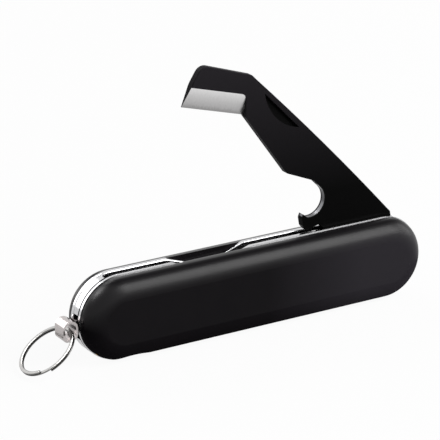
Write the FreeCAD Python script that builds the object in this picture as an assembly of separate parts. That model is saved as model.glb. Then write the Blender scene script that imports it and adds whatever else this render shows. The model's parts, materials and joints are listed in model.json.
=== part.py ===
import FreeCAD, Part
import math
import os

os.makedirs("parts", exist_ok=True)
V = FreeCAD.Vector

# Frame: +X runs along the handle to the end the cutter turns on, +Y to the back of
# the handle, +Z up. The pieces are drawn with the middle of the handle at X = 0 and
# exported moved along X, so that the origin is on the floor under the middle of the
# whole object as it lies, key ring included.

# ---- handle ----
HANDLE_L = 91.0            # length over both rounded ends
HANDLE_H = 20.0            # height, and twice the radius of the ends
SLOT_SIDE_GAP = 0.1        # gap between the plate and each liner
LINER_T = 1.0              # thickness of one liner
LINER_EDGE_R = 0.4         # rounded edge of the liners on the slot's side, nail recess to bail
LINER_EDGE_R2 = 0.15       # the same edge from the nail recess to the pivot end
SCALE_T = 4.3              # thickness of one scale
SCALE_SET_IN = 0.2         # how far the scales' outline lies inside the liners'
SCALE_RIM_FLAT = 0.35      # straight part of a scale's edge next to the liner
SCALE_ROUND_Z = 4.6        # height of the pillow rounding
POCKET_RIM = 2.3           # solid rim left round a scale's inner pocket
POCKET_DEPTH = 2.0         # depth of a scale's inner pocket
BOSS_WALL = 1.2            # wall of a scale's boss round a collar
COLLAR_FIT = 0.05          # radial gap between a collar and its boss
COLLAR_END_GAP = 0.3       # gap between a collar and the bottom of its socket

# ---- finger recesses ----
NICK_RECESS_TOP = 20.7     # length of the recess at the liners' top edges
NICK_RECESS_FLOOR = 9.6    # its length at the bottom
NICK_RECESS_U = 47.2       # its middle, from the cutter's pivot
NICK_RECESS_DEPTH = 1.8
LIFT_RECESS_L = 12.7       # recess in the front scale's bottom edge
LIFT_PAST_TIP = 4.4        # its middle, past the corkscrew's tip
LIFT_RECESS_DEPTH = 1.4

# ---- cutter and opener plate: u from the pivot to the tip, v to the back edge ----
PIVOT_IN = 9.5             # pivot in from the end of the handle
PIVOT_DOWN = 9.2           # pivot below the handle's top edge
OPEN_DEG = 45.8            # how far the plate stands open from folded
PLATE_T = 1.8
BACK_V = 8.7               # pivot to the ends of the back edge
BACK_BOW = 0.45            # how far the back edge bows out between its ends
HEEL_U = 5.2               # where the back edge starts, beside the pivot
HEEL_SLOPE_U = 4.6         # length of the slope from the heel to the tang
HEEL_DROP = 2.95           # how far the heel's slope falls before the tang
CLIP_U = 60.5              # where the back edge ends and the clipped nose starts
NOSE_U = 72.6
NOSE_TOP_V = 2.35
NOSE_LOW_U = 71.5
NOSE_LOW_V = -2.4
POINT_U = 69.2             # sharp point of the foil blade
POINT_V = -7.4
CHOIL_U = 55.2             # inner end of the cutting edge
CHOIL_V = 0.85
WAIST_U = 36.0             # lowest point of the arm between blade and notch
WAIST_V = -1.95
SHOULDER_U = 28.6          # corner where the cap lifter's notch starts
SHOULDER_V = 1.22
NOTCH_U = 25.75
NOTCH_V = -2.78
NOTCH_R = 4.0
LIP_U = 25.0               # tip of the hook under the notch
LIP_TOP_V = -6.2
LIP_LOW_V = -7.2
HOOK_U = 22.9
HOOK_V = -8.3
ROOT_U = 21.4
ROOT_V = -8.5
STEP_U = 19.6              # where the plate narrows to pass over the back spring
STEP_GAP = 0.9             # gap there between the folded plate and the spring
STEP_MIN = 1.0             # least height of that step
LIP_SLANT = 0.5            # how far the hook's tip leans back under the notch
LIP_ROOM = 0.35            # how far the notch is cleared above the hook's tip
TANG_R = 6.0               # rounded tang about the pivot
BEVEL_W = 4.9              # width of the ground bevel
BEVEL_PAST = 0.4           # how far the bevel runs past the cutting edge's inner end
BEVEL_LEAN = 1.3           # how far its inner end leans to the tip over its width
EDGE_T = 0.3               # metal left at the cutting edge
BEVEL_CORNER_R = 1.6
NICK_U = 48.0              # middle of the nail nick
NICK_L = 13.4
NICK_H = 2.2
NICK_V = 7.75              # straight edge of the nick
NICK_DEPTH = 0.75
EDGE_BREAK = 0.15          # broken edges of the plate
BOW_IN = 1.2               # where the bow starts, in from the back edge's corners

# ---- pivot ----
RIVET_R = 1.25
BUSH_WALL = 0.9
RUNNING_FIT = 0.04         # radial gap wherever a piece turns on a pin
COLLAR_T = 1.3
COLLAR_W = 1.3             # radial width of the pivot collars

# ---- small fasteners ----
SMALL_RIVET_R = 0.8
SMALL_COLLAR_T = 0.9
SMALL_COLLAR_W = 0.8
SPRING_RIVET_IN = 2.6      # first spring rivet in from the end of the spring's base
SPRING_RIVET_PITCH = 5.0
SPRING_RIVET_Z = 2.6
SPACER_RIVET_IN = 2.3      # spacer rivets in from the spacer's inner end
SPACER_RIVET_DOWN = 6.3    # below and above the handle's middle
SPACER_RIVET_UP = 5.6

# ---- mid layer ----
SPACER_L = 7.1             # from the handle's end to the blunt end of the open slot
SPRING_BASE_L = 9.8
SPRING_BASE_IN = 6.4       # end of the spring's base, in from the pivot
SPRING_BASE_Z0 = 0.4
SPRING_BASE_Z1 = 4.7
SPRING_LEAF_T = 1.2
SPRING_TIP_PAST = 0.4      # spring's tip past the pivot
SPRING_TANG_GAP = 0.4      # gap between the spring's tip and the tang
SPRING_TIP_L = 2.6
SPRING_SLOPE = 1.2         # length of the slopes at the two ends of the leaf
SPRING_RISE_MIN = 0.3      # least rise of the tip above the leaf
STOP_U = 52.0              # stop pin, from the pivot
STOP_R = 0.9
STOP_GAP = 0.4             # gap between the stop and the folded plate

# ---- corkscrew ----
SCREW_IN = 19.0            # its pivot, in from the cutter's pivot
SCREW_Z = 3.5
SCREW_PIN_R = 0.95
WIRE_D = 1.9
WORM_R = 2.25              # radius of the wire's middle line
SHANK_L = 10.0             # pivot to the start of the worm
WORM_L = 36.0
WORM_PITCH = 7.2
WORM_EASE = 3.0            # length over which the straight shank turns into the worm
WIRE_STEP = 0.35           # spacing of the points the wire is drawn through
EYE_R = 2.4
EYE_LAP = 1.0              # how far the shank runs into the eye
WASHER_T = 0.2
SIDE_GAP = 0.05
SCREW_COLLAR_T = 0.5
TIP_R = 0.12
TIP_L = 3.2                # length that tapers to the point
TIP_LAP = 0.2              # how far the tapered end starts inside the wire
TIP_STEP = 0.03            # shoulder where the taper leaves the wire
BAY_GAP = 0.4              # room between the worm and what is cut back for it
BAY_END_GAP = 2.0
BAY_INNER_GAP = 2.5        # how far the cut in the liners runs past the worm's start
EYE_ROOM = 0.5

# ---- key ring bail ----
BAIL_PIN_IN = 3.2          # its pin, in from the handle's end
BAIL_PIN_DROP = 1.0        # its pin, below the handle's middle
BAIL_PIN_R = 1.0
BAIL_W = 4.0               # width of the loop along Y
BAIL_STRIP = 0.5
BAIL_END_GAP = 0.3         # gap between the handle's end and the loop
BAIL_LOOP_L = 3.7          # outer size of the loop along X and Z
BAIL_LOOP_H = 4.8
BAIL_LOOP_DROP = 0.0       # loop's middle below the pin
BAIL_TOE_R = 1.1           # outer radius of the loop's lower far corner
BAIL_CORNER_FLAT = 0.05    # straight run left at each end of the loop
BARREL_R = 2.0
NECK_H = 2.6
NECK_RISE = 0.9            # how far the neck's top rises to the loop
BAIL_SIDE_GAP = 0.1
BARREL_ROOM = 0.5
NECK_ROOM = 1.7            # room above and below the neck for the bail to swing

# ---- split ring ----
RING_OUT_R = 7.1
RING_WIRE_W = 0.85         # radial width of the flat wire
RING_WIRE_T = 0.42         # thickness of one coil
RING_COIL_GAP = 0.05
RING_TURNS = 1.94
RING_EYE_IN = 1.48         # middle of the wire, in from the loop's inner end
RING_EYE_DROP = 0.15       # middle of the wire, below the bail's pin
RING_FLOOR_GAP = 0.25      # gap left between the ring and the floor
RING_ROLL_DEG = -2.0
RING_END_DEG = 205.0       # where the coil ends lie round the ring

# ---- what follows from these ----
END_R = HANDLE_H / 2.0
END_X = HANDLE_L / 2.0 - END_R
HALF_SLOT = PLATE_T / 2.0 + SLOT_SIDE_GAP
LINER_OUT = HALF_SLOT + LINER_T
SCALE_OUT = LINER_OUT + SCALE_T
LEFT_END_X = -HANDLE_L / 2.0
PIVOT_X = HANDLE_L / 2.0 - PIVOT_IN
PIVOT_Z = HANDLE_H - PIVOT_DOWN
PIVOT = V(PIVOT_X, 0, PIVOT_Z)
SCREW_X = PIVOT_X - SCREW_IN
WORM_START_X = SCREW_X - SHANK_L
WORM_TIP_X = WORM_START_X - WORM_L
BAY_INNER_X = WORM_START_X + BAY_INNER_GAP
NICK_RECESS_X = PIVOT_X - NICK_RECESS_U
LIFT_RECESS_X = WORM_TIP_X - LIFT_PAST_TIP
SPRING_BASE_X1 = PIVOT_X - SPRING_BASE_IN
SPRING_BASE_X0 = SPRING_BASE_X1 - SPRING_BASE_L
SPRING_TIP_X = PIVOT_X + SPRING_TIP_PAST
SPRING_RIVET_X = SPRING_BASE_X0 + SPRING_RIVET_IN
STEP_V = max(SPRING_BASE_Z1 + STEP_GAP - PIVOT_Z, ROOT_V + STEP_MIN)
SPACER_END_X = LEFT_END_X + SPACER_L
SPACER_RIVET_X = SPACER_END_X - SPACER_RIVET_IN
STOP_X = PIVOT_X - STOP_U
BAIL_PIN_X = LEFT_END_X + BAIL_PIN_IN
BAIL_PIN_Z = END_R - BAIL_PIN_DROP
BAIL_X1 = LEFT_END_X - BAIL_END_GAP
BAIL_X0 = BAIL_X1 - BAIL_LOOP_L
BAIL_Z0 = BAIL_PIN_Z - BAIL_LOOP_DROP - BAIL_LOOP_H / 2.0
BAIL_Z1 = BAIL_Z0 + BAIL_LOOP_H
RING_EYE_X = BAIL_X1 - RING_EYE_IN
RING_EYE_Z = BAIL_PIN_Z - RING_EYE_DROP
COIL_PITCH = RING_WIRE_T + RING_COIL_GAP
RING_MID_R = RING_OUT_R - RING_WIRE_W / 2.0
RING_LOW = RING_EYE_Z - RING_FLOOR_GAP - COIL_PITCH
RING_DIP = math.asin(min(1.0, RING_LOW / (RING_MID_R + RING_OUT_R)))
RING_FAR_X = RING_EYE_X - (RING_MID_R + RING_OUT_R) * math.cos(RING_DIP)
FRAME_X = -(RING_FAR_X + HANDLE_L / 2.0) / 2.0
SCREW_EYE_Y0 = LINER_OUT + WASHER_T + SIDE_GAP
SCREW_EYE_Y1 = SCREW_EYE_Y0 + WIRE_D
SHANK_Y = SCREW_EYE_Y0 + WIRE_D / 2.0
WORM_Y = SHANK_Y - WORM_R
WORM_OUT_R = WORM_R + WIRE_D / 2.0
BAY_Z = SCREW_Z + WORM_OUT_R + BAY_GAP
BAY_TIP_X = WORM_TIP_X - BAY_END_GAP
ARM_SLOPE = (CHOIL_V - WAIST_V) / (CHOIL_U - WAIST_U)
STOP_V = WAIST_V + ARM_SLOPE * (STOP_U - WAIST_U)
STOP_Z = PIVOT_Z + STOP_V - (STOP_R + STOP_GAP) * math.hypot(1, ARM_SLOPE)


def cyl(x, z, r, y0, y1):
    """Round bar along Y between y0 and y1."""
    return Part.makeCylinder(r, y1 - y0, V(x, y0, z), V(0, 1, 0))


def box(x0, x1, y0, y1, z0, z1):
    return Part.makeBox(x1 - x0, y1 - y0, z1 - z0, V(x0, y0, z0))


def prism(face, y0, y1):
    """Extrude a face drawn in the plane Y = 0 from y0 to y1."""
    moved = face.copy()
    moved.translate(V(0, y0, 0))
    return moved.extrude(V(0, y1 - y0, 0))


def stadium(inset=0.0):
    """The handle's outline in the plane Y = 0, moved in by inset."""
    r = END_R - inset
    top_l = V(-END_X, 0, END_R + r)
    top_r = V(END_X, 0, END_R + r)
    low_r = V(END_X, 0, END_R - r)
    low_l = V(-END_X, 0, END_R - r)
    right = Part.Arc(top_r, V(END_X + r, 0, END_R), low_r).toShape()
    left = Part.Arc(low_l, V(-END_X - r, 0, END_R), top_l).toShape()
    lines = [Part.makeLine(top_l, top_r), right, Part.makeLine(low_r, low_l), left]
    return Part.Face(Part.Wire(lines))


def rounded(corners):
    """Face in the plane Y = 0 from corners (x, z, r), each rounded by its r."""
    n = len(corners)
    edges = []
    starts = []
    ends = []
    mids = []
    for i in range(n):
        x, z, r = corners[i]
        p = V(x, 0, z)
        a = V(corners[i - 1][0], 0, corners[i - 1][1]) - p
        b = V(corners[(i + 1) % n][0], 0, corners[(i + 1) % n][1]) - p
        a.normalize()
        b.normalize()
        half = math.acos(max(-1.0, min(1.0, a.dot(b)))) / 2.0
        if r <= 0 or half > math.radians(89.0):
            starts.append(p)
            ends.append(p)
            mids.append(None)
            continue
        reach = r / math.tan(half)
        middle = a + b
        middle.normalize()
        centre = p + middle * (r / math.sin(half))
        starts.append(p + a * reach)
        ends.append(p + b * reach)
        mids.append(centre - middle * r)
    for i in range(n):
        if mids[i] is not None:
            edges.append(Part.Arc(starts[i], mids[i], ends[i]).toShape())
        j = (i + 1) % n
        if (ends[i] - starts[j]).Length > 1e-6:
            edges.append(Part.makeLine(ends[i], starts[j]))
    return Part.Face(Part.Wire(edges))


def mirror_y(shape):
    return shape.mirror(V(0, 0, 0), V(0, 1, 0))


def export(name, solids):
    shape = solids[0] if len(solids) == 1 else Part.makeCompound(solids)
    shape.translate(V(FRAME_X, 0, 0))
    shape.exportStep("parts/" + name + ".step")


# ---- places of the fasteners ----
SPRING_RIVETS = [SPRING_RIVET_X, SPRING_RIVET_X + SPRING_RIVET_PITCH]
SPACER_RIVETS = [END_R - SPACER_RIVET_DOWN, END_R + SPACER_RIVET_UP]
SMALL_PLACES = [(x, SPRING_RIVET_Z) for x in SPRING_RIVETS]
SMALL_PLACES += [(SPACER_RIVET_X, z) for z in SPACER_RIVETS]
COLLAR_R = RIVET_R + COLLAR_W
SMALL_COLLAR_R = SMALL_RIVET_R + SMALL_COLLAR_W
BAIL_COLLAR_R = BAIL_PIN_R + SMALL_COLLAR_W
SCREW_COLLAR_R = SCREW_PIN_R + SMALL_COLLAR_W


def collar(x, z, hole_r, out_r, thick):
    ring = cyl(x, z, out_r, LINER_OUT, LINER_OUT + thick)
    return ring.cut(cyl(x, z, hole_r, LINER_OUT - 1, LINER_OUT + thick + 1))


# ---- liners ----
def bay(x1, y0, y1):
    """Room for the worm under the handle, open to the floor side."""
    corners = [(BAY_TIP_X, -1, 0), (x1, -1, 0), (x1, BAY_Z, 1.5), (BAY_TIP_X, BAY_Z, 1.5)]
    return prism(rounded(corners), y0, y1)


def slot_edges(half):
    """Outline edges on the slot's side of half a liner, without its cut end."""
    found = []
    for edge in half.Edges:
        at = edge.BoundBox
        on_side = abs(at.YMax - HALF_SLOT) < 1e-4
        at_cut = abs(at.XMin - NICK_RECESS_X) < 1e-4 and abs(at.XMax - NICK_RECESS_X) < 1e-4
        if on_side and not at_cut:
            found.append(edge)
    return found


def liner():
    """The back liner before its own holes; the front one is its mirror image."""
    body = prism(stadium(), HALF_SLOT, LINER_OUT)
    half_top = NICK_RECESS_TOP / 2.0
    half_floor = NICK_RECESS_FLOOR / 2.0
    slope = (half_top - half_floor) / NICK_RECESS_DEPTH
    over = 1.0
    floor_z = HANDLE_H - NICK_RECESS_DEPTH
    recess = [
        (NICK_RECESS_X - half_top - slope * over, HANDLE_H + over, 0),
        (NICK_RECESS_X - half_floor, floor_z, 2.0),
        (NICK_RECESS_X + half_floor, floor_z, 2.0),
        (NICK_RECESS_X + half_top + slope * over, HANDLE_H + over, 0),
    ]
    body = body.cut(prism(rounded(recess), 0, LINER_OUT + 1))
    halves = []
    spans = [(-HANDLE_L, NICK_RECESS_X, LINER_EDGE_R), (NICK_RECESS_X, HANDLE_L, LINER_EDGE_R2)]
    for x0, x1, r in spans:
        half = body.common(box(x0, x1, 0, LINER_OUT + 1, -1, HANDLE_H + 1))
        halves.append(half.makeFillet(r, slot_edges(half)))
    body = halves[0].fuse(halves[1]).removeSplitter()
    body = body.cut(bay(BAY_INNER_X, 0, LINER_OUT + 1))
    body = body.cut(cyl(PIVOT_X, PIVOT_Z, RIVET_R, 0, LINER_OUT + 1))
    body = body.cut(cyl(BAIL_PIN_X, BAIL_PIN_Z, BAIL_PIN_R, 0, LINER_OUT + 1))
    for x, z in SMALL_PLACES:
        body = body.cut(cyl(x, z, SMALL_RIVET_R, 0, LINER_OUT + 1))
    return body.cut(cyl(STOP_X, STOP_Z, STOP_R, 0, LINER_OUT + 1))


front_liner = mirror_y(liner())
back_liner = liner().cut(cyl(SCREW_X, SCREW_Z, SCREW_PIN_R, 0, LINER_OUT + 1))


# ---- scales ----
def scale_outer():
    """Pillow-shaped outside of the back scale."""
    rim = LINER_OUT + SCALE_RIM_FLAT
    depth = SCALE_T - SCALE_RIM_FLAT
    middle = END_R
    reach = END_R - SCALE_SET_IN
    top = middle + reach
    floor = middle - reach

    def quarter(sign):
        """Rounding from the rim to the flat face, above or below the middle."""
        high = max(depth, SCALE_ROUND_Z)
        low = min(depth, SCALE_ROUND_Z)
        along = V(0, 0, sign) if SCALE_ROUND_Z >= depth else V(0, 1, 0)
        centre = V(0, rim, middle + sign * (reach - SCALE_ROUND_Z))
        across = V(0, 1, 0) if SCALE_ROUND_Z >= depth else V(0, 0, sign)
        ellipse = Part.Ellipse(centre + along * high, centre + across * low, centre)
        return Part.ArcOfEllipse(ellipse, 0, math.pi / 2.0).toShape()

    upper = quarter(1)
    lower = quarter(-1)
    face_hi = V(0, SCALE_OUT, middle + reach - SCALE_ROUND_Z)
    face_lo = V(0, SCALE_OUT, middle - reach + SCALE_ROUND_Z)
    section = [
        Part.makeLine(V(0, LINER_OUT, floor), V(0, LINER_OUT, top)),
        Part.makeLine(V(0, LINER_OUT, top), V(0, rim, top)),
        upper,
        Part.makeLine(face_hi, face_lo),
        lower,
        Part.makeLine(V(0, rim, floor), V(0, LINER_OUT, floor)),
    ]
    flat = Part.Face(Part.Wire(Part.__sortEdges__(section)))
    flat.translate(V(-END_X, 0, 0))
    bar = flat.extrude(V(2 * END_X, 0, 0))
    half = [
        Part.makeLine(V(0, LINER_OUT, middle), V(0, LINER_OUT, top)),
        Part.makeLine(V(0, LINER_OUT, top), V(0, rim, top)),
        upper,
        Part.makeLine(face_hi, V(0, SCALE_OUT, middle)),
        Part.makeLine(V(0, SCALE_OUT, middle), V(0, LINER_OUT, middle)),
    ]
    half_face = Part.Face(Part.Wire(Part.__sortEdges__(half)))
    ends = []
    for x, turn in ((END_X, 180), (-END_X, -180)):
        part = half_face.copy()
        part.translate(V(x, 0, 0))
        ends.append(part.revolve(V(x, 0, middle), V(0, 1, 0), turn))
    return bar.fuse(ends).removeSplitter()


def scale():
    """The back scale before the cuts of its own side."""
    body = scale_outer()
    pocket = prism(stadium(POCKET_RIM), LINER_OUT - 1, LINER_OUT + POCKET_DEPTH)
    sockets = [(PIVOT_X, PIVOT_Z, COLLAR_R, COLLAR_T)]
    sockets.append((BAIL_PIN_X, BAIL_PIN_Z, BAIL_COLLAR_R, SMALL_COLLAR_T))
    for x, z in SMALL_PLACES:
        sockets.append((x, z, SMALL_COLLAR_R, SMALL_COLLAR_T))
    for x, z, r, t in sockets:
        boss_r = r + COLLAR_FIT + BOSS_WALL
        pocket = pocket.cut(cyl(x, z, boss_r, LINER_OUT - 2, LINER_OUT + POCKET_DEPTH + 1))
    body = body.cut(pocket)
    for x, z, r, t in sockets:
        depth = t + COLLAR_END_GAP
        body = body.cut(cyl(x, z, r + COLLAR_FIT, LINER_OUT - 1, LINER_OUT + depth))
    return body


front_scale = mirror_y(scale())
front_bay_y = -(WORM_OUT_R - WORM_Y + BAY_GAP)
front_scale = front_scale.cut(bay(BAY_INNER_X, front_bay_y, 0))
half_lift = LIFT_RECESS_L / 2.0
lift_l = V(LIFT_RECESS_X - half_lift, 0, 0)
lift_r = V(LIFT_RECESS_X + half_lift, 0, 0)
lift_top = V(LIFT_RECESS_X, 0, LIFT_RECESS_DEPTH)
drop = V(0, 0, -1)
lift_edges = [
    Part.Arc(lift_l, lift_top, lift_r).toShape(),
    Part.makeLine(lift_r, lift_r + drop),
    Part.makeLine(lift_r + drop, lift_l + drop),
    Part.makeLine(lift_l + drop, lift_l),
]
front_scale = front_scale.cut(prism(Part.Face(Part.Wire(lift_edges)), -SCALE_OUT - 1, 0))

screw_bay_x1 = SCREW_X + EYE_R + EYE_ROOM
back_bay_y = WORM_Y + WORM_OUT_R + BAY_GAP
back_scale = scale().cut(bay(screw_bay_x1, 0, back_bay_y))
screw_collar_y1 = SCREW_EYE_Y1 + SIDE_GAP + SCREW_COLLAR_T
socket = cyl(SCREW_X, SCREW_Z, SCREW_COLLAR_R + COLLAR_FIT, 0, screw_collar_y1 + SIDE_GAP)
back_scale = back_scale.cut(socket)

# ---- mid layer, fixed pieces ----
end_spacer = prism(stadium(), -HALF_SLOT, HALF_SLOT)
keep = box(-HANDLE_L, SPACER_END_X, -HALF_SLOT - 1, HALF_SLOT + 1, -1, HANDLE_H + 1)
end_spacer = end_spacer.common(keep)
room = NECK_H / 2.0 + NECK_ROOM
end_spacer = end_spacer.cut(cyl(BAIL_PIN_X, BAIL_PIN_Z, BARREL_R + BARREL_ROOM, -2, 2))
neck_room = box(-HANDLE_L, BAIL_PIN_X, -2, 2, BAIL_PIN_Z - room, BAIL_PIN_Z + room)
end_spacer = end_spacer.cut(neck_room)
for z in SPACER_RIVETS:
    end_spacer = end_spacer.cut(cyl(SPACER_RIVET_X, z, SMALL_RIVET_R, -2, 2))

leaf_x1 = SPRING_TIP_X
tip_top = PIVOT_Z - TANG_R - SPRING_TANG_GAP
leaf_top = min(SPRING_BASE_Z0 + SPRING_LEAF_T, tip_top - SPRING_RISE_MIN)
leaf_t = leaf_top - SPRING_BASE_Z0
rise = tip_top - leaf_top
end_r = min(0.4, leaf_t / 3.0)
tip_r = min(0.6, rise / 3.0)
root_r = min(1.0, rise / 3.0)
spring_corners = [
    (SPRING_BASE_X0, SPRING_BASE_Z0, end_r),
    (leaf_x1, SPRING_BASE_Z0, end_r),
    (leaf_x1, tip_top, tip_r),
    (leaf_x1 - SPRING_TIP_L, tip_top, tip_r),
    (leaf_x1 - SPRING_TIP_L - SPRING_SLOPE, leaf_top, root_r),
    (SPRING_BASE_X1 + SPRING_SLOPE, leaf_top, root_r),
    (SPRING_BASE_X1, SPRING_BASE_Z1, 0.6),
    (SPRING_BASE_X0, SPRING_BASE_Z1, 0.4),
]
back_spring = prism(rounded(spring_corners), -HALF_SLOT, HALF_SLOT)
for x in SPRING_RIVETS:
    back_spring = back_spring.cut(cyl(x, SPRING_RIVET_Z, SMALL_RIVET_R, -2, 2))

stop_pin = cyl(STOP_X, STOP_Z, STOP_R, -LINER_OUT, LINER_OUT)

# ---- rivets and collars ----
pivot_end = LINER_OUT + COLLAR_T
small_end = LINER_OUT + SMALL_COLLAR_T
pivot_rivet = cyl(PIVOT_X, PIVOT_Z, RIVET_R, -pivot_end, pivot_end)
pivot_collar = collar(PIVOT_X, PIVOT_Z, RIVET_R, COLLAR_R, COLLAR_T)
pivot_collars = [mirror_y(pivot_collar), pivot_collar]
bail_pin = cyl(BAIL_PIN_X, BAIL_PIN_Z, BAIL_PIN_R, -small_end, small_end)
bail_collar = collar(BAIL_PIN_X, BAIL_PIN_Z, BAIL_PIN_R, BAIL_COLLAR_R, SMALL_COLLAR_T)
bail_collars = [mirror_y(bail_collar), bail_collar]


def small_rivet(x, z):
    return cyl(x, z, SMALL_RIVET_R, -small_end, small_end)


def small_collars(x, z):
    one = collar(x, z, SMALL_RIVET_R, SMALL_COLLAR_R, SMALL_COLLAR_T)
    return [mirror_y(one), one]


spring_rivets = [small_rivet(x, SPRING_RIVET_Z) for x in SPRING_RIVETS]
spring_collars = []
for x in SPRING_RIVETS:
    spring_collars += small_collars(x, SPRING_RIVET_Z)
spacer_rivets = [small_rivet(SPACER_RIVET_X, z) for z in SPACER_RIVETS]
spacer_collars = []
for z in SPACER_RIVETS:
    spacer_collars += small_collars(SPACER_RIVET_X, z)

# ---- cutter and opener plate, drawn folded and then turned open ----
BUSH_OUT_R = RIVET_R + RUNNING_FIT + BUSH_WALL
FACE_Y = PLATE_T / 2.0


def uv(u, v, r=0.0):
    """Corner of the plate: u and v from the pivot, in the folded position."""
    return (PIVOT_X - u, PIVOT_Z + v, r)


def plate():
    corners = [
        uv(HEEL_U, BACK_V, 0.6),
        uv(CLIP_U, BACK_V, 1.2),
        uv(NOSE_U, NOSE_TOP_V, 2.4),
        uv(NOSE_LOW_U, NOSE_LOW_V, 6.0),
        uv(POINT_U, POINT_V),
        uv(CHOIL_U, CHOIL_V, 0.9),
        uv(WAIST_U, WAIST_V, 1.0),
        uv(SHOULDER_U, SHOULDER_V, 2.5),
        uv(NOTCH_U, NOTCH_V + NOTCH_R),
        uv(LIP_U, LIP_TOP_V, 0.2),
        uv(LIP_U - LIP_SLANT, LIP_LOW_V, 0.6),
        uv(HOOK_U, HOOK_V, 0.8),
        uv(ROOT_U, ROOT_V, 0.6),
        uv(STEP_U, STEP_V, 1.0),
        uv(0, STEP_V),
        uv(0, 0),
        uv(HEEL_U - HEEL_SLOPE_U, BACK_V - HEEL_DROP),
    ]
    body = prism(rounded(corners), -FACE_Y, FACE_Y)
    heel = V(PIVOT_X - HEEL_U - BOW_IN, 0, PIVOT_Z + BACK_V)
    clip = V(PIVOT_X - CLIP_U + BOW_IN, 0, PIVOT_Z + BACK_V)
    crown = (heel + clip) * 0.5 + V(0, 0, BACK_BOW)
    bow = [Part.Arc(heel, crown, clip).toShape(), Part.makeLine(clip, heel)]
    body = body.fuse(prism(Part.Face(Part.Wire(bow)), -FACE_Y, FACE_Y))
    body = body.fuse(cyl(PIVOT_X, PIVOT_Z, TANG_R, -FACE_Y, FACE_Y)).removeSplitter()
    notch_x = PIVOT_X - NOTCH_U
    notch_z = PIVOT_Z + NOTCH_V
    notch = cyl(notch_x, notch_z, NOTCH_R, -PLATE_T, PLATE_T)
    lip_corners = [
        uv(LIP_U, LIP_TOP_V, 0.2),
        uv(LIP_U - LIP_SLANT, LIP_LOW_V - 1.0),
        uv(NOTCH_U - NOTCH_R, LIP_LOW_V - 1.0),
        uv(NOTCH_U - NOTCH_R, LIP_TOP_V + LIP_ROOM),
    ]
    lip = prism(rounded(lip_corners), -PLATE_T - 1, PLATE_T + 1)
    body = body.cut(notch.cut(lip))
    return body.cut(cyl(PIVOT_X, PIVOT_Z, BUSH_OUT_R, -2, 2))


def bevel():
    """Wedge that leaves the ground bevel on the front face of the blade."""
    tip = V(PIVOT_X - POINT_U, 0, PIVOT_Z + POINT_V)
    heel = V(PIVOT_X - CHOIL_U, 0, PIVOT_Z + CHOIL_V)
    along = heel - tip
    length = along.Length
    along.normalize()
    inward = V(-along.z, 0, along.x)
    depth = PLATE_T - EDGE_T
    slope = depth / BEVEL_W
    out = 1.0
    a = tip + inward * BEVEL_W + V(0, -FACE_Y, 0)
    b = tip - inward * out + V(0, -FACE_Y, 0)
    c = tip - inward * out + V(0, -FACE_Y + depth + slope * out, 0)
    over = V(0, -0.5, 0)
    d = a + over
    e = b + over
    triangle = Part.Face(Part.makePolygon([a, c, e, d, a]))
    triangle.translate(along * -6.0)
    wedge = triangle.extrude(along * (length + BEVEL_PAST + 6.0))
    lead = tip - along * 5.0
    stop = tip + along * (length + BEVEL_PAST)
    below = inward * out * -2.0
    lean = along * -BEVEL_LEAN
    region = []
    for corner, r in (
        (lead + below, 0),
        (stop + below, 0),
        (stop, 0),
        (stop + inward * BEVEL_W + lean, BEVEL_CORNER_R),
        (lead + inward * BEVEL_W, 0),
    ):
        region.append((corner.x, corner.z, r))
    return wedge.common(prism(rounded(region), -FACE_Y - 1, FACE_Y + 1))


def nail_nick():
    """Crescent in the front face, deepest along its straight edge."""
    bow_r = ((NICK_L / 2.0) ** 2 + NICK_H ** 2) / (2.0 * NICK_H)
    x = PIVOT_X - NICK_U
    z_top = PIVOT_Z + NICK_V
    disc = cyl(x, z_top - NICK_H + bow_r, bow_r, -FACE_Y - 1, FACE_Y)
    half = NICK_L / 2.0 + 1.0
    a = V(x - half, -FACE_Y, z_top - NICK_H - 0.05)
    b = V(x - half, -FACE_Y + NICK_DEPTH, z_top)
    c = V(x - half, -FACE_Y - 0.5, z_top)
    d = V(x - half, -FACE_Y - 0.5, z_top - NICK_H - 0.05)
    wedge = Part.Face(Part.makePolygon([a, b, c, d, a])).extrude(V(2 * half, 0, 0))
    return disc.common(wedge)


def broken(shape):
    """Break the long back edges of the plate by a small chamfer."""
    edges = []
    back_z = PIVOT_Z + BACK_V
    for edge in shape.Edges:
        middle = edge.CenterOfMass
        on_face = abs(abs(middle.y) - FACE_Y) < 1e-4
        if on_face and middle.z > back_z - 1e-4 and edge.Length > 20:
            edges.append(edge)
    return shape.makeChamfer(EDGE_BREAK, edges)


cutter_opener = broken(plate().cut(bevel()).cut(nail_nick()))
cutter_opener.rotate(PIVOT, V(0, 1, 0), OPEN_DEG)

bush_hole_r = RIVET_R + RUNNING_FIT
pivot_bush = cyl(PIVOT_X, PIVOT_Z, BUSH_OUT_R, -FACE_Y, FACE_Y)
pivot_bush = pivot_bush.cut(cyl(PIVOT_X, PIVOT_Z, bush_hole_r, -2, 2))


# ---- corkscrew ----
def worm_points(s0, s1):
    """Points of the wire's middle line, by distance s along the worm's axis."""
    count = max(4, int(round((s1 - s0) / WIRE_STEP)))
    points = []
    for i in range(count + 1):
        s = s0 + (s1 - s0) * i / count
        if s <= 0:
            turned = 0.0
        elif s < WORM_EASE:
            turned = s * s / (2.0 * WORM_EASE)
        else:
            turned = s - WORM_EASE / 2.0
        angle = 2.0 * math.pi * turned / WORM_PITCH
        y = WORM_Y + WORM_R * math.cos(angle)
        points.append(V(WORM_START_X - s, y, SCREW_Z - WORM_R * math.sin(angle)))
    return points


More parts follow.
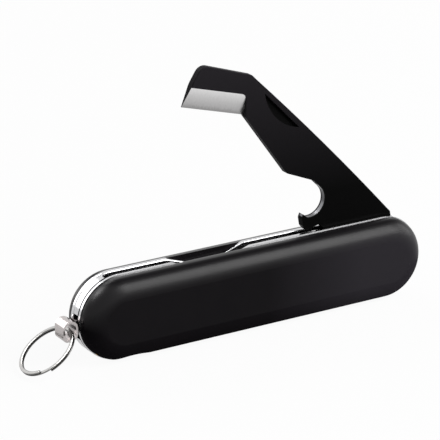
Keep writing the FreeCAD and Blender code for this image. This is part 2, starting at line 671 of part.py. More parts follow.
def swept(points, r0, r1):
    """Round wire along the points, from radius r0 to r1."""
    curve = Part.BSplineCurve()
    curve.interpolate(Points=points)
    spine = Part.Wire(curve.toShape())
    first = curve.tangent(curve.FirstParameter)[0]
    last = curve.tangent(curve.LastParameter)[0]
    rings = [Part.Wire(Part.makeCircle(r0, points[0], first))]
    if r1 != r0:
        rings.append(Part.Wire(Part.makeCircle(r1, points[-1], last)))
    return spine.makePipeShell(rings, True, False)


wire_r = WIRE_D / 2.0
worm_l = WORM_START_X - WORM_TIP_X
shank_l = SCREW_X - EYE_R + EYE_LAP - WORM_START_X
shank_r = wire_r + TIP_STEP / 2.0
shank_x0 = WORM_START_X - TIP_LAP / 2.0
shank = Part.makeCylinder(shank_r, shank_l, V(shank_x0, SHANK_Y, SCREW_Z), V(1, 0, 0))
main = swept(worm_points(0.0, worm_l - TIP_L), wire_r, wire_r)
point_points = worm_points(worm_l - TIP_L - TIP_LAP, worm_l)
point = swept(point_points, wire_r - TIP_STEP, TIP_R)
eye = cyl(SCREW_X, SCREW_Z, EYE_R, SCREW_EYE_Y0, SCREW_EYE_Y1)
eye_hole = cyl(SCREW_X, SCREW_Z, SCREW_PIN_R + RUNNING_FIT, 0, SCALE_OUT)
corkscrew_worm = main.fuse([point, shank, eye]).cut(eye_hole)
corkscrew_pin = cyl(SCREW_X, SCREW_Z, SCREW_PIN_R, HALF_SLOT, screw_collar_y1)
washer = cyl(SCREW_X, SCREW_Z, SCREW_COLLAR_R, LINER_OUT, LINER_OUT + WASHER_T)
corkscrew_washer = washer.cut(cyl(SCREW_X, SCREW_Z, SCREW_PIN_R, 0, SCALE_OUT))
cap_y0 = SCREW_EYE_Y1 + SIDE_GAP
corkscrew_collar = cyl(SCREW_X, SCREW_Z, SCREW_COLLAR_R, cap_y0, screw_collar_y1)
corkscrew_collar = corkscrew_collar.cut(cyl(SCREW_X, SCREW_Z, SCREW_PIN_R, 0, SCALE_OUT))

# ---- key ring bail ----
loop_r = BAIL_LOOP_L / 2.0 - BAIL_CORNER_FLAT
half_w = BAIL_W / 2.0
outer = [
    (BAIL_X0, BAIL_Z0, BAIL_TOE_R),
    (BAIL_X1, BAIL_Z0, loop_r),
    (BAIL_X1, BAIL_Z1, loop_r),
    (BAIL_X0, BAIL_Z1, loop_r),
]
inner_r = loop_r - BAIL_STRIP
inner = [
    (BAIL_X0 + BAIL_STRIP, BAIL_Z0 + BAIL_STRIP, BAIL_TOE_R - BAIL_STRIP),
    (BAIL_X1 - BAIL_STRIP, BAIL_Z0 + BAIL_STRIP, inner_r),
    (BAIL_X1 - BAIL_STRIP, BAIL_Z1 - BAIL_STRIP, inner_r),
    (BAIL_X0 + BAIL_STRIP, BAIL_Z1 - BAIL_STRIP, inner_r),
]
loop = prism(rounded(outer), -half_w, half_w)
loop = loop.cut(prism(rounded(inner), -half_w - 1, half_w + 1))
bail_mid = HALF_SLOT - BAIL_SIDE_GAP
barrel = cyl(BAIL_PIN_X, BAIL_PIN_Z, BARREL_R, -bail_mid, bail_mid)
neck_x0 = BAIL_X1 - BAIL_STRIP / 2.0
neck_z0 = BAIL_PIN_Z - NECK_H / 2.0
neck_z1 = neck_z0 + NECK_H
neck_corners = [
    (neck_x0, neck_z0, 0),
    (BAIL_PIN_X, neck_z0, 0),
    (BAIL_PIN_X, neck_z1, 0),
    (LEFT_END_X + BAIL_PIN_IN / 2.0, neck_z1, 0.6),
    (neck_x0, neck_z1 + NECK_RISE, 0),
]
neck = prism(rounded(neck_corners), -bail_mid, bail_mid)
ring_bail = loop.fuse([barrel, neck]).removeSplitter()
bail_hole = cyl(BAIL_PIN_X, BAIL_PIN_Z, BAIL_PIN_R + RUNNING_FIT, -2, 2)
ring_bail = ring_bail.cut(bail_hole)

# ---- split ring, drawn about +Z and then laid against the floor ----
helix = Part.makeHelix(COIL_PITCH, COIL_PITCH * RING_TURNS, RING_MID_R)
half_ww = RING_WIRE_W / 2.0
half_wt = RING_WIRE_T / 2.0
wire_corners = [
    V(RING_MID_R - half_ww, 0, -half_wt),
    V(RING_MID_R + half_ww, 0, -half_wt),
    V(RING_MID_R + half_ww, 0, half_wt),
    V(RING_MID_R - half_ww, 0, half_wt),
]
wire_face = Part.makePolygon(wire_corners + [wire_corners[0]])
split_ring = Part.Wire(helix).makePipeShell([wire_face], True, True)
split_ring.translate(V(0, 0, -COIL_PITCH * RING_TURNS / 2.0))
split_ring.rotate(V(0, 0, 0), V(0, 0, 1), RING_END_DEG)
split_ring.translate(V(-RING_MID_R, 0, 0))
split_ring.rotate(V(0, 0, 0), V(1, 0, 0), RING_ROLL_DEG)
split_ring.rotate(V(0, 0, 0), V(0, 1, 0), -math.degrees(RING_DIP))
split_ring.translate(V(RING_EYE_X, 0, RING_EYE_Z))

export("front_scale", [front_scale])
export("back_scale", [back_scale])
export("front_liner", [front_liner])
export("back_liner", [back_liner])
export("end_spacer", [end_spacer])
export("back_spring", [back_spring])
export("stop_pin", [stop_pin])
export("pivot_rivet", [pivot_rivet])
export("pivot_collars", pivot_collars)
export("spring_rivets", spring_rivets)
export("spring_collars", spring_collars)
export("spacer_rivets", spacer_rivets)
export("spacer_collars", spacer_collars)
export("bail_pin", [bail_pin])
export("bail_collars", bail_collars)
export("cutter_opener", [cutter_opener])
export("pivot_bush", [pivot_bush])
export("corkscrew_worm", [corkscrew_worm])
export("corkscrew_pin", [corkscrew_pin])
export("corkscrew_washer", [corkscrew_washer])
export("corkscrew_collar", [corkscrew_collar])
export("ring_bail", [ring_bail])
export("split_ring", [split_ring])
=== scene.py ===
import json
import math

import bpy
import numpy as np
from mathutils import Matrix, Vector


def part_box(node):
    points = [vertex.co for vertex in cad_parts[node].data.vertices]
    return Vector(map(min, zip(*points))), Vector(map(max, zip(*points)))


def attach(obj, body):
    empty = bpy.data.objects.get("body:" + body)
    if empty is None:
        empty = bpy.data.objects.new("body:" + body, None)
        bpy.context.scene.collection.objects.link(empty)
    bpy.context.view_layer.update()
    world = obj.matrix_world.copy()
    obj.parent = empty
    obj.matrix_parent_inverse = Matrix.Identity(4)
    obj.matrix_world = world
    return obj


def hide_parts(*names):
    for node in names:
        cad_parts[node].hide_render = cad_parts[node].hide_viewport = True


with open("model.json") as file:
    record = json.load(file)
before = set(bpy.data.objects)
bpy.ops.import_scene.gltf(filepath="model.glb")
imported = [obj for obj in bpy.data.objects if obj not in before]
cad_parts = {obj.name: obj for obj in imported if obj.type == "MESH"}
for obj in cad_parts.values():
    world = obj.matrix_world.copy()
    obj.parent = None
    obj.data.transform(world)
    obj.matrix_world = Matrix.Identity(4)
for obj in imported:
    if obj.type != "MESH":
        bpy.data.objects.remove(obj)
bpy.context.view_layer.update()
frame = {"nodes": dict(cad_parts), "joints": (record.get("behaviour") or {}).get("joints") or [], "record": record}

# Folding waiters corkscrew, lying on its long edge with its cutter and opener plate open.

MM = 0.001
HANDLE_LO, HANDLE_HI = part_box("front_liner")
PLATE_LO, PLATE_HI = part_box("cutter_opener")
SPACER_LO, SPACER_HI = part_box("end_spacer")

# ---- camera, from a point 10 mm up in the handle's middle ----
CAMERA_AZIMUTH = -32.139
CAMERA_ELEVATION = 21.786
CAMERA_DISTANCE = 0.600456
CAMERA_LENS = 213.5
CAMERA_BASE = (0.0, 0.0, 0.010)
CAMERA_AIM = (-0.00288, 0.00812, 0.02348)

# ---- what the materials are drawn with, in millimetres ----
MOULD_GRAIN = 0.35        # spark-eroded mould texture, really 0.05 mm, drawn coarser to show
MOULD_GRAIN_DEPTH = 0.004
MOULD_HAZE = 9.0          # slow unevenness of the moulded faces
GRIND_LINE = 0.22         # grinding marks on the bevel, really 0.02 mm, drawn coarser to show
GRIND_STRETCH = 12        # how many times longer than wide a grinding mark is
GRIND_DEPTH = 0.001
POLISH_LINE = 0.25        # polishing lines on sheet and wire, really 0.01 mm, drawn coarser
POLISH_STRETCH = 30.0     # how many times longer than wide a polishing line is
POLISH_DEPTH = 0.0012
POLISH_CLOUD = 5.0        # slow unevenness left by a polishing mop
# steel down the ground bevel, 0 at its top line and 1 at the cutting edge, paler at the top as a
# painted reflection; the first two stops replace the ramp's own
BEVEL_SHADES = [(0.10, "#e2e1e1"), (1.0, "#989797"), (0.5, "#c6c5c5"), (0.85, "#b0afaf")]
# gloss of the black plastic where it faces down (0), sideways (0.5) and up (1); a drawn
# curve, since one real plastic has one gloss
ABS_SHEEN = [(0.1, 0.0), (1.0, 0.5), (0.46, 0.001), (0.5, 0.03), (0.64, 0.15), (0.86, 0.15),
             (0.94, 0.025), (0.975, 0.06)]
SEAM_REACH = 1.2          # how far from a meeting of parts the painted shade in it reaches
SEAM_EDGE = 0.10          # half width of the dark line where spacer and liner meet
GLINT_HALF_WIDTH = 0.55          # half width of the painted highlight round the notch's wall, drawn as bare steel
FIBRE = 3.0               # mottling of the paper

# ---- shares of white glow: the paper's for camera and reflections, the world's as light ----
PAPER_SEEN, PAPER_MIRRORED = 0.94, 0.6
WORLD_LIGHT = 0.25


def linear(hex_colour):
    """sRGB hex to the linear RGBA that shaders use."""
    parts = [int(hex_colour[i:i + 2], 16) / 255.0 for i in (1, 3, 5)]
    return (*[c / 12.92 if c <= 0.04045 else ((c + 0.055) / 1.055) ** 2.4 for c in parts], 1.0)


def add(tree, kind, settings=None, **links):
    """Adds a node with its settings; each link is a value or a socket for the input named."""
    node = tree.nodes.new("ShaderNode" + kind)
    for name, value in (settings or {}).items():
        setattr(node, name, value)
    for name, value in links.items():
        key = int(name[1:]) if name[1:].isdigit() else name.replace("_", " ")
        if isinstance(value, bpy.types.NodeSocket):
            tree.links.new(value, node.inputs[key])
        else:
            node.inputs[key].default_value = value
    return node


def begin(name, **slots):
    """Empty material with one principled shader; returns material, tree, shader and place."""
    material = bpy.data.materials.new(name)
    material.use_nodes = True
    tree = material.node_tree
    tree.nodes.clear()
    shader = add(tree, "BsdfPrincipled", **slots)
    add(tree, "OutputMaterial", Surface=shader.outputs["BSDF"])
    place = add(tree, "TexCoord").outputs["Object"]
    return material, tree, shader, place


# ---- places on the handle and the plate ----
PAINTED_SHEEN_FROM, PAINTED_SHEEN_TO = 8 * MM, 34 * MM      # along the handle the black is painted greyer between these, a painted reflection
SHOULDER, UPRIGHT = 0.8, 0.5              # and only on faces nearer to upright than this
NOTCH_ALONG, NOTCH_ACROSS = 25.75 * MM, -2.78 * MM     # notch's middle from the pivot
CUTTER = [j for j in frame["joints"] if j["name"] == "cutter_fold"][0]
OPEN_BY = math.radians(CUTTER["range_deg"][1])
ALONG = Vector((-math.cos(OPEN_BY), 0, math.sin(OPEN_BY)))      # from the pivot to the tip
ACROSS = Vector((math.sin(OPEN_BY), 0, math.cos(OPEN_BY)))      # towards the back edge
NOTCH = Vector(CUTTER["pos_m"]) + ALONG * NOTCH_ALONG + ACROSS * NOTCH_ACROSS
NOTCH_WALL = 4.1 * MM                     # just past the notch's radius
# across the plate, the middle of the painted highlight on the notch's wall
GLINT_AT = PLATE_LO.y + 0.45 * (PLATE_HI.y - PLATE_LO.y)
COAT_PALER_FROM = PLATE_LO.z + 24 * MM     # the coat is painted paler from here to the tip, as painted light


def bevel_span():
    """Fall line of the ground bevel, where on it the bevel starts and ends, and its normal."""
    mesh = frame["nodes"]["cutter_opener"].data
    facing = np.array([f.normal for f in mesh.polygons])
    ground = (facing[:, 1] < -0.9) & (facing[:, 1] > -0.98) & (facing[:, 2] < -0.1)
    fall = Vector((facing[ground, 0].mean(), 0, facing[ground, 2].mean())).normalized()
    corners = [mesh.vertices[v].co for i in np.flatnonzero(ground)
               for v in mesh.polygons[i].vertices]
    down = [fall.dot(c) for c in corners]
    return fall, min(down), max(down), facing[ground].mean(axis=0)


BEVEL_FALL, BEVEL_TOP, BEVEL_EDGE, BEVEL_FACING = bevel_span()


# ---- finishes ----
def moulded_black_abs():
    """Black ABS, injection moulded against a spark-eroded steel: satin grain, soft sheen."""
    material, tree, shader, place = begin("moulded_black_abs", IOR=1.54)
    mm = add(tree, "VectorMath", {"operation": "SCALE"}, Vector=place, Scale=1.0 / MM).outputs[0]
    haze = add(tree, "TexNoise", Vector=mm, Scale=1.0 / MOULD_HAZE, Detail=3.0).outputs["Fac"]
    grain = add(tree, "TexNoise", Vector=mm, Scale=1.0 / MOULD_GRAIN, Detail=2.0).outputs["Fac"]
    colour = add(tree, "Mix", {"data_type": "RGBA"}, Factor=haze, _6=linear("#100f11"),
                 _7=linear("#151315")).outputs[2]
    facing = add(tree, "TexCoord").outputs["Normal"]
    up = add(tree, "SeparateXYZ", Vector=facing).outputs["Z"]
    up = add(tree, "MapRange", Value=up, From_Min=-1.0, From_Max=1.0).outputs[0]
    # painted reflection: faces nearer to upright are drawn greyer along the handle towards +X
    painted_sheen = add(tree, "SeparateXYZ", Vector=place).outputs["X"]
    painted_sheen = add(tree, "MapRange", Value=painted_sheen, From_Min=PAINTED_SHEEN_FROM, From_Max=PAINTED_SHEEN_TO).outputs[0]
    upright = add(tree, "MapRange", Value=up, From_Min=SHOULDER, From_Max=UPRIGHT).outputs[0]
    painted_sheen = add(tree, "Math", {"operation": "MULTIPLY"}, _0=painted_sheen, _1=upright).outputs[0]
    colour = add(tree, "Mix", {"data_type": "RGBA"}, Factor=painted_sheen, _6=colour,
                 _7=linear("#28262a")).outputs[2]
    tree.links.new(colour, shader.inputs["Base Color"])
    rough = add(tree, "MapRange", Value=haze, From_Min=0.3, From_Max=0.7, To_Min=0.30,
                To_Max=0.35).outputs[0]
    tree.links.new(rough, shader.inputs["Roughness"])
    sheen = add(tree, "ValToRGB", Fac=up)
    for stop, (at, level) in enumerate(ABS_SHEEN):
        spot = sheen.color_ramp.elements[stop] if stop < 2 else sheen.color_ramp.elements.new(at)
        spot.position = at
        spot.color = (level, level, level, 1.0)
    tree.links.new(sheen.outputs["Color"], shader.inputs["Specular IOR Level"])
    relief = add(tree, "Bump", Height=grain, Distance=MOULD_GRAIN_DEPTH * MM).outputs[0]
    tree.links.new(relief, shader.inputs["Normal"])
    return material


def seam_dirt_and_shade(tree, place):
    """Share of near-black where the end spacer meets a liner, partly dirt and partly painted shade, else none."""
    at = add(tree, "SeparateXYZ", Vector=place).outputs
    off = add(tree, "Math", {"operation": "ABSOLUTE"}, _0=at["Y"]).outputs[0]
    joint = add(tree, "Math", {"operation": "COMPARE"}, _0=off, _1=SPACER_HI.y,
                _2=SEAM_EDGE * MM).outputs[0]
    # painted shade: the line is drawn darker on the near side than on the far side
    near = add(tree, "MapRange", Value=at["Y"], From_Min=SPACER_LO.y, From_Max=SPACER_HI.y,
               To_Min=1.0, To_Max=0.85).outputs[0]
    end = add(tree, "Math", {"operation": "LESS_THAN"}, _0=at["X"], _1=SPACER_HI.x).outputs[0]
    there = add(tree, "Math", {"operation": "MULTIPLY"}, _0=joint, _1=end).outputs[0]
    return add(tree, "Math", {"operation": "MULTIPLY"}, _0=there, _1=near).outputs[0]


def coil_turn_shade(tree, place):
    """Share of painted shade: stored on the coiled wire where its turns touch, so no place is asked."""
    return add(tree, "Attribute", {"attribute_name": "turn_shade"}).outputs["Fac"]


def worked_metal(name, dark, pale, rough, smooth, line, along, crevice_shade="#3a3a3c", shade_and_dirt=None):
    """A metal with fine lines along one axis, slow cloudy polish and painted shade where parts meet.

    The optional callback takes the tree and the place and returns the share of near-black, painted shade and some
    dirt.
    """
    material, tree, shader, place = begin(name, Metallic=1.0)
    spread = [1.0 / (line * MM)] * 3
    spread[along] /= POLISH_STRETCH
    lines_at = add(tree, "Mapping", Vector=place, Scale=tuple(spread)).outputs[0]
    lines = add(tree, "TexNoise", Vector=lines_at, Scale=1.0, Detail=2.0).outputs["Fac"]
    cloud = add(tree, "TexNoise", Vector=place, Scale=1.0 / (POLISH_CLOUD * MM),
                Detail=3.0).outputs["Fac"]
    base = add(tree, "Mix", {"data_type": "RGBA"}, Factor=cloud, _6=linear(dark),
               _7=linear(pale)).outputs[2]
    # painted shade: the colour is drawn dark where other parts enclose a point
    open_air = add(tree, "AmbientOcclusion", {"samples": 8},
                   Distance=SEAM_REACH * MM).outputs["AO"]
    unshaded = add(tree, "MapRange", Value=open_air, From_Min=0.12, From_Max=0.55).outputs[0]
    colour = add(tree, "Mix", {"data_type": "RGBA"}, Factor=unshaded, _6=linear(crevice_shade),
                 _7=base).outputs[2]
    # painted shade, drawn near-black where the callback gives a share
    if shade_and_dirt:
        colour = add(tree, "Mix", {"data_type": "RGBA"}, Factor=shade_and_dirt(tree, place), _6=colour,
                     _7=linear("#161617")).outputs[2]
    tree.links.new(colour, shader.inputs["Base Color"])
    polish = add(tree, "MapRange", Value=lines, From_Min=0.3, From_Max=0.7, To_Min=smooth,
                 To_Max=rough).outputs[0]
    tree.links.new(polish, shader.inputs["Roughness"])
    relief = add(tree, "Bump", Height=lines, Distance=POLISH_DEPTH * MM).outputs[0]
    tree.links.new(relief, shader.inputs["Normal"])
    return material


def coated_plate_steel():
    """Stainless plate with a thin matt black coating: near black, painted paler towards the tip.

    The coating is ground off the blade's bevel: bright steel, paler at its top line and darker at
    the edge as painted reflection. A band of dull bare steel on the notch's wall is a painted highlight.
    """
    material, tree, shader, place = begin("coated_plate_steel", IOR=1.5, Specular_IOR_Level=0.015)
    normal = add(tree, "TexCoord").outputs["Normal"]
    facing = add(tree, "SeparateXYZ", Vector=normal).outputs
    tilted = add(tree, "Math", {"operation": "COMPARE"}, _0=facing["Y"], _1=float(BEVEL_FACING[1]),
                 _2=0.02).outputs[0]
    downward = add(tree, "Math", {"operation": "LESS_THAN"}, _0=facing["Z"], _1=-0.1).outputs[0]
    ground = add(tree, "Math", {"operation": "MULTIPLY"}, _0=tilted, _1=downward).outputs[0]
    # painted light: the coat is drawn paler with height, towards the tip
    height = add(tree, "SeparateXYZ", Vector=place).outputs["Z"]
    tip_light = add(tree, "MapRange", Value=height, From_Min=COAT_PALER_FROM,
               From_Max=PLATE_HI.z).outputs[0]
    coat = add(tree, "Mix", {"data_type": "RGBA"}, Factor=tip_light, _6=linear("#060606"),
               _7=linear("#232124")).outputs[2]
    # painted highlight: a band round the notch's wall is drawn as dull bare steel
    off_notch = add(tree, "VectorMath", {"operation": "MULTIPLY"}, _0=place, _1=(1, 0, 1))
    off_notch = add(tree, "VectorMath", {"operation": "DISTANCE"}, _0=off_notch.outputs[0],
                    _1=NOTCH).outputs["Value"]
    at_notch = add(tree, "Math", {"operation": "LESS_THAN"}, _0=off_notch,
                   _1=NOTCH_WALL).outputs[0]
    across = add(tree, "SeparateXYZ", Vector=place).outputs["Y"]
    mid_wall = add(tree, "Math", {"operation": "COMPARE"}, _0=across,
                   _1=GLINT_AT, _2=GLINT_HALF_WIDTH * MM).outputs[0]
    wall = add(tree, "Math", {"operation": "COMPARE"}, _0=facing["Y"], _1=0.0, _2=0.3).outputs[0]
    notch_glint = add(tree, "Math", {"operation": "MULTIPLY"}, _0=at_notch, _1=mid_wall).outputs[0]
    notch_glint = add(tree, "Math", {"operation": "MULTIPLY"}, _0=notch_glint, _1=wall).outputs[0]
    spread = (1.0 / (GRIND_LINE * MM), 1.0 / (GRIND_LINE * MM),
              1.0 / (GRIND_STRETCH * GRIND_LINE * MM))
    lines_at = add(tree, "Mapping", Vector=place, Scale=spread).outputs[0]
    lines = add(tree, "TexNoise", Vector=lines_at, Scale=1.0, Detail=2.0).outputs["Fac"]
    bare = add(tree, "Math", {"operation": "MAXIMUM"}, _0=ground, _1=notch_glint).outputs[0]
    # painted reflection: the bevel's steel is drawn paler at its top line, darker at the cutting edge
    down_bevel = add(tree, "VectorMath", {"operation": "DOT_PRODUCT"}, _0=place,
                     _1=BEVEL_FALL).outputs["Value"]
    thin = add(tree, "MapRange", Value=down_bevel, From_Min=BEVEL_TOP, From_Max=BEVEL_EDGE,
               To_Min=0.0, To_Max=1.0).outputs[0]
    streak = add(tree, "Math", {"operation": "MULTIPLY_ADD"}, _0=lines, _1=0.25, _2=thin)
    steel = add(tree, "ValToRGB", Fac=streak.outputs[0])
    for stop, (at, shade) in enumerate(BEVEL_SHADES):
        spot = steel.color_ramp.elements[stop] if stop < 2 else steel.color_ramp.elements.new(at)
        spot.position = at
        spot.color = linear(shade)
    steel = add(tree, "Mix", {"data_type": "RGBA"}, Factor=notch_glint, _6=steel.outputs["Color"],
                _7=linear("#565658")).outputs[2]
    # painted shade: front faces tilted upwards, the nail nick's slope, are drawn darker than the coat
    cut = add(tree, "Math", {"operation": "GREATER_THAN"}, _0=facing["Z"], _1=0.15).outputs[0]
    front = add(tree, "Math", {"operation": "LESS_THAN"}, _0=facing["Y"], _1=-0.9).outputs[0]
    nick = add(tree, "Math", {"operation": "MULTIPLY"}, _0=cut, _1=front).outputs[0]
    coat = add(tree, "Mix", {"data_type": "RGBA"}, Factor=nick, _6=coat,
               _7=linear("#030303")).outputs[2]
    colour = add(tree, "Mix", {"data_type": "RGBA"}, Factor=bare, _6=coat, _7=steel).outputs[2]
    tree.links.new(colour, shader.inputs["Base Color"])
    tree.links.new(bare, shader.inputs["Metallic"])
    rough = add(tree, "MapRange", Value=bare, To_Min=0.42, To_Max=0.3).outputs[0]
    tree.links.new(rough, shader.inputs["Roughness"])
    relief = add(tree, "Bump", Height=lines, Distance=GRIND_DEPTH * MM).outputs[0]
    tree.links.new(relief, shader.inputs["Normal"])
    return material


def seamless_paper():
    """White seamless backdrop paper: faint fibre mottling.

    It glows for the camera, so that it shows as white with a faint shadow left in it, and
    partly in reflections.
    """
    material, tree, shader, place = begin("seamless_paper", Roughness=0.9, Specular_IOR_Level=0.1)
    fibre = add(tree, "TexNoise", Vector=place, Scale=1.0 / (FIBRE * MM),
                Detail=3.0).outputs["Fac"]
    colour = add(tree, "Mix", {"data_type": "RGBA"}, Factor=fibre, _6=linear("#e9e9e9"),
                 _7=linear("#efefef")).outputs[2]
    tree.links.new(colour, shader.inputs["Base Color"])
    path = add(tree, "LightPath").outputs
    share = add(tree, "Math", {"operation": "MULTIPLY"}, _0=path["Is Camera Ray"], _1=PAPER_SEEN)
    share = add(tree, "Math", {"operation": "MULTIPLY_ADD"}, _0=path["Is Glossy Ray"],
                _1=PAPER_MIRRORED, _2=share.outputs[0]).outputs[0]
    glow = add(tree, "Emission", Color=(1, 1, 1, 1), Strength=1.0).outputs[0]
    both = add(tree, "MixShader", Fac=share, _1=shader.outputs["BSDF"], _2=glow).outputs[0]
    out = [n for n in tree.nodes if n.type == "OUTPUT_MATERIAL"][0]
    tree.links.new(both, out.inputs["Surface"])
    return material


ABS = moulded_black_abs()
# Rolled stainless sheet, blanked and mop polished: near mirror, lines along the handle.
LINER = worked_metal("polished_stainless_sheet", "#c9c9cb", "#d3d3d4", 0.16, 0.08, POLISH_LINE,
                     0, shade_and_dirt=seam_dirt_and_shade)
# Cold drawn stainless wire, tumbled: bright with faint draw lines.
WIRE = worked_metal("drawn_stainless_wire", "#bdbdc0", "#d0d0d2", 0.24, 0.12, POLISH_LINE, 0)
# Nickel plated spring steel, flattened wire: warm grey, darker than the sheet, with black
# lines of painted shade where the turns touch.
RING = worked_metal("nickel_plated_ring_wire", "#6f6e6d", "#868583", 0.2, 0.12, POLISH_LINE, 2,
                    shade_and_dirt=coil_turn_shade)
# Nickel plated steel strip, bent round a mandrel: bright and faintly pink.
BAIL = worked_metal("nickel_plated_bail_strip", "#b3adac", "#c4bebd", 0.24, 0.14, POLISH_LINE, 0)
# Tempered spring steel, ground: darker grey with a cool cast.
SPRING = worked_metal("tempered_spring_steel", "#55565a", "#6a6b6f", 0.4, 0.25, POLISH_LINE, 0)
# Turned steel pins: fine turning lines round the axis.
PIN = worked_metal("turned_steel_pin", "#9c9da0", "#b7b8ba", 0.3, 0.18, POLISH_LINE, 1)
# Turned free-cutting brass: yellow with soft turning lines.
BRASS = worked_metal("turned_brass", "#a98442", "#c39c54", 0.32, 0.2, POLISH_LINE, 1)
# Pressed and sintered bronze: porous, brown and dull.
BRONZE = worked_metal("sintered_bronze", "#7d5a34", "#966f42", 0.5, 0.35, POLISH_LINE, 1)
PLATE = coated_plate_steel()

FINISHES = {
    "front_scale": ABS, "back_scale": ABS,
    "front_liner": LINER, "back_liner": LINER, "end_spacer": LINER,
    "back_spring": SPRING,
    "stop_pin": PIN, "pivot_rivet": PIN, "spring_rivets": PIN, "spacer_rivets": PIN,
    "bail_pin": PIN, "corkscrew_pin": PIN, "corkscrew_washer": PIN,
    "pivot_collars": BRASS, "spring_collars": BRASS, "spacer_collars": BRASS,
    "bail_collars": BRASS, "corkscrew_collar": BRASS,
    "pivot_bush": BRONZE,
    "cutter_opener": PLATE,
    "corkscrew_worm": WIRE,
    "ring_bail": BAIL,
    "split_ring": RING,
}
for node_name, finish in FINISHES.items():
    mesh = frame["nodes"][node_name].data
    mesh.materials.clear()
    mesh.materials.append(finish)


# ---- new pieces ----
def grid_mesh(name, points, finish, wrap=False, caps=False, turn_shade=None):
    """Mesh over an (n, m, 3) grid of points; wrap joins the last column to the first."""
    n, m = points.shape[:2]
    index = np.arange(n * m).reshape(n, m)
    if wrap:
        index = np.concatenate([index, index[:, :1]], axis=1)
    quads = np.stack([index[:-1, :-1], index[1:, :-1], index[1:, 1:], index[:-1, 1:]], axis=-1)
    faces = quads.reshape(-1, 4).tolist()
    if caps:
        faces += [index[0, :m].tolist(), index[-1, :m][::-1].tolist()]
    mesh = bpy.data.meshes.new(name)
    mesh.from_pydata(points.reshape(-1, 3).tolist(), [], faces)
    mesh.shade_smooth()
    if turn_shade is not None:
        stored = mesh.attributes.new("turn_shade", "FLOAT", "POINT")
        stored.data.foreach_set("value", turn_shade.reshape(-1).astype(np.float32))
    mesh.materials.append(finish)
    piece = bpy.data.objects.new(name, mesh)
    bpy.context.scene.collection.objects.link(piece)
    return piece


def paper_floor(half=1.5, cells=24):
    """Flat grid: x and y each run from -half to half, z is 0."""
    side = np.linspace(-half, half, cells + 1)
    x, y = np.meshgrid(side, side, indexing="ij")
    grid_mesh("paper_floor", np.stack([x, y, 0 * x], axis=-1), seamless_paper())


RING_OUT_R = 7.1 * MM
RING_WIRE_W = 0.85 * MM       # radial width of the flattened wire
RING_WIRE_T = 0.42 * MM       # thickness of one coil
RING_PITCH = 0.47 * MM
RING_TURNS = 1.94
RING_START = math.radians(245.0)
RING_ROLL = math.radians(-2.0)


def coiled_ring_wire(steps=720, around=24):
    """Two coils of flattened wire with rounded edges.

    A superellipse |a/w|^3 + |b/t|^3 = 1 is carried along the helix
    (R cos t, R sin t, pitch t / 2 pi), then the coil is rolled and tipped as the ring hangs.
    """
    t = np.linspace(0.0, 2 * np.pi * RING_TURNS, steps)[:, None]
    s = np.linspace(0.0, 2 * np.pi, around, endpoint=False)[None, :]
    c, d = np.cos(s), np.sin(s)
    a = 0.5 * RING_WIRE_W * np.sign(c) * np.abs(c) ** (2 / 3)
    b = 0.5 * RING_WIRE_T * np.sign(d) * np.abs(d) ** (2 / 3)
    r = RING_OUT_R - RING_WIRE_W / 2 + a
    turn = t + RING_START
    z = RING_PITCH * (t / (2 * np.pi) - RING_TURNS / 2) + b
    neighbour = np.clip(2.0 * (RING_TURNS * np.pi - t), -1.0, 1.0)     # above, then below
    # share of painted shade on the faces where one turn lies against the next
    touching = np.clip(2.5 * (neighbour * b / (0.5 * RING_WIRE_T) - 0.2), 0.0, 1.0)
    points = np.stack([r * np.cos(turn), r * np.sin(turn), z + 0 * r], axis=-1)
    eye = [j for j in frame["joints"] if j["name"] == "ring_swing"][0]["pos_m"]
    way = [m for m in frame["record"]["mounts"] if m["name"] == "key_ring"][0]["axis"]
    dip = math.atan2(way[0], -way[2])
    place = (Matrix.Translation(Vector(eye)) @ Matrix.Rotation(-dip, 4, "Y")
             @ Matrix.Rotation(RING_ROLL, 4, "X")
             @ Matrix.Translation((RING_WIRE_W / 2 - RING_OUT_R, 0, 0)))
    place = np.array(place)
    points = points @ place[:3, :3].T + place[:3, 3]
    piece = grid_mesh("coiled_ring_wire", points, RING, wrap=True, caps=True,
                      turn_shade=touching)
    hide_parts("split_ring")
    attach(piece, "ring")


paper_floor()
coiled_ring_wire()


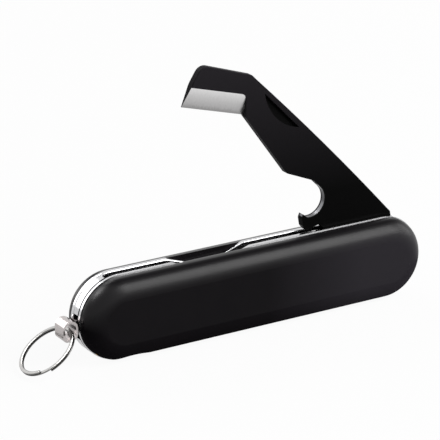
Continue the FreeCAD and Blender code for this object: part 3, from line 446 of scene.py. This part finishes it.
# ---- light ----
def soft_box(name, azimuth, elevation, distance, size, power, lights=True, mirrored=True):
    """Rectangular lamp aimed at the handle; azimuth 0 is in front and 90 to the right.

    lights=False leaves it in reflections only, mirrored=False out of them.
    """
    lamp = bpy.data.lights.new(name, "AREA")
    lamp.shape = "RECTANGLE"
    lamp.size, lamp.size_y = size
    lamp.energy = power
    holder = bpy.data.objects.new(name, lamp)
    a, e = math.radians(azimuth), math.radians(elevation)
    way = Vector((math.sin(a) * math.cos(e), -math.cos(a) * math.cos(e), math.sin(e)))
    holder.location = way * distance + Vector(CAMERA_BASE)
    holder.rotation_euler = way.to_track_quat("Z", "Y").to_euler()
    holder.visible_diffuse = lights
    holder.visible_glossy = mirrored
    bpy.context.scene.collection.objects.link(holder)


LAMP_DISTANCE = 1.1
soft_box("front_bank", 41, 36, LAMP_DISTANCE, (0.52, 0.80), 10.6)
soft_box("right_fill", 78, 20, LAMP_DISTANCE, (0.6, 0.6), 3.4)
soft_box("back_bank", 190, 30, LAMP_DISTANCE, (1.0, 0.5), 3.1, mirrored=False)
soft_box("top_left", -145, 58, LAMP_DISTANCE, (1.0, 0.5), 26.0, lights=False)
soft_box("back_left", -155, 20, LAMP_DISTANCE, (0.8, 0.75), 3.4, lights=False)

world = bpy.data.worlds.new("studio_white")
bpy.context.scene.world = world
world.use_nodes = True
sky = world.node_tree
sky.nodes.clear()
path = add(sky, "LightPath").outputs
seen = add(sky, "Math", {"operation": "MAXIMUM"}, _0=path["Is Camera Ray"],
           _1=path["Is Glossy Ray"]).outputs[0]
seen = add(sky, "Math", {"operation": "MAXIMUM"}, _0=seen,
           _1=path["Is Transmission Ray"]).outputs[0]
level = add(sky, "MapRange", Value=seen, To_Min=WORLD_LIGHT, To_Max=1.0).outputs[0]
white = add(sky, "Background", Color=(1, 1, 1, 1), Strength=level).outputs[0]
add(sky, "OutputWorld", Surface=white)

# ---- camera ----
lens = bpy.data.cameras.new("camera")
lens.lens = CAMERA_LENS
lens.sensor_width = 36.0
lens.clip_start = 0.01
lens.clip_end = 20.0
camera = bpy.data.objects.new("camera", lens)
bpy.context.scene.collection.objects.link(camera)
a, e = math.radians(CAMERA_AZIMUTH), math.radians(CAMERA_ELEVATION)
back = Vector((math.sin(a) * math.cos(e), -math.cos(a) * math.cos(e), math.sin(e)))
middle = Vector(((HANDLE_LO.x + HANDLE_HI.x) / 2, 0, 0))
camera.location = middle + Vector(CAMERA_BASE) + back * CAMERA_DISTANCE
sight = camera.location - (middle + Vector(CAMERA_AIM))
camera.rotation_euler = sight.to_track_quat("Z", "Y").to_euler()
bpy.context.scene.camera = camera
bpy.context.scene.view_settings.view_transform = "Standard"
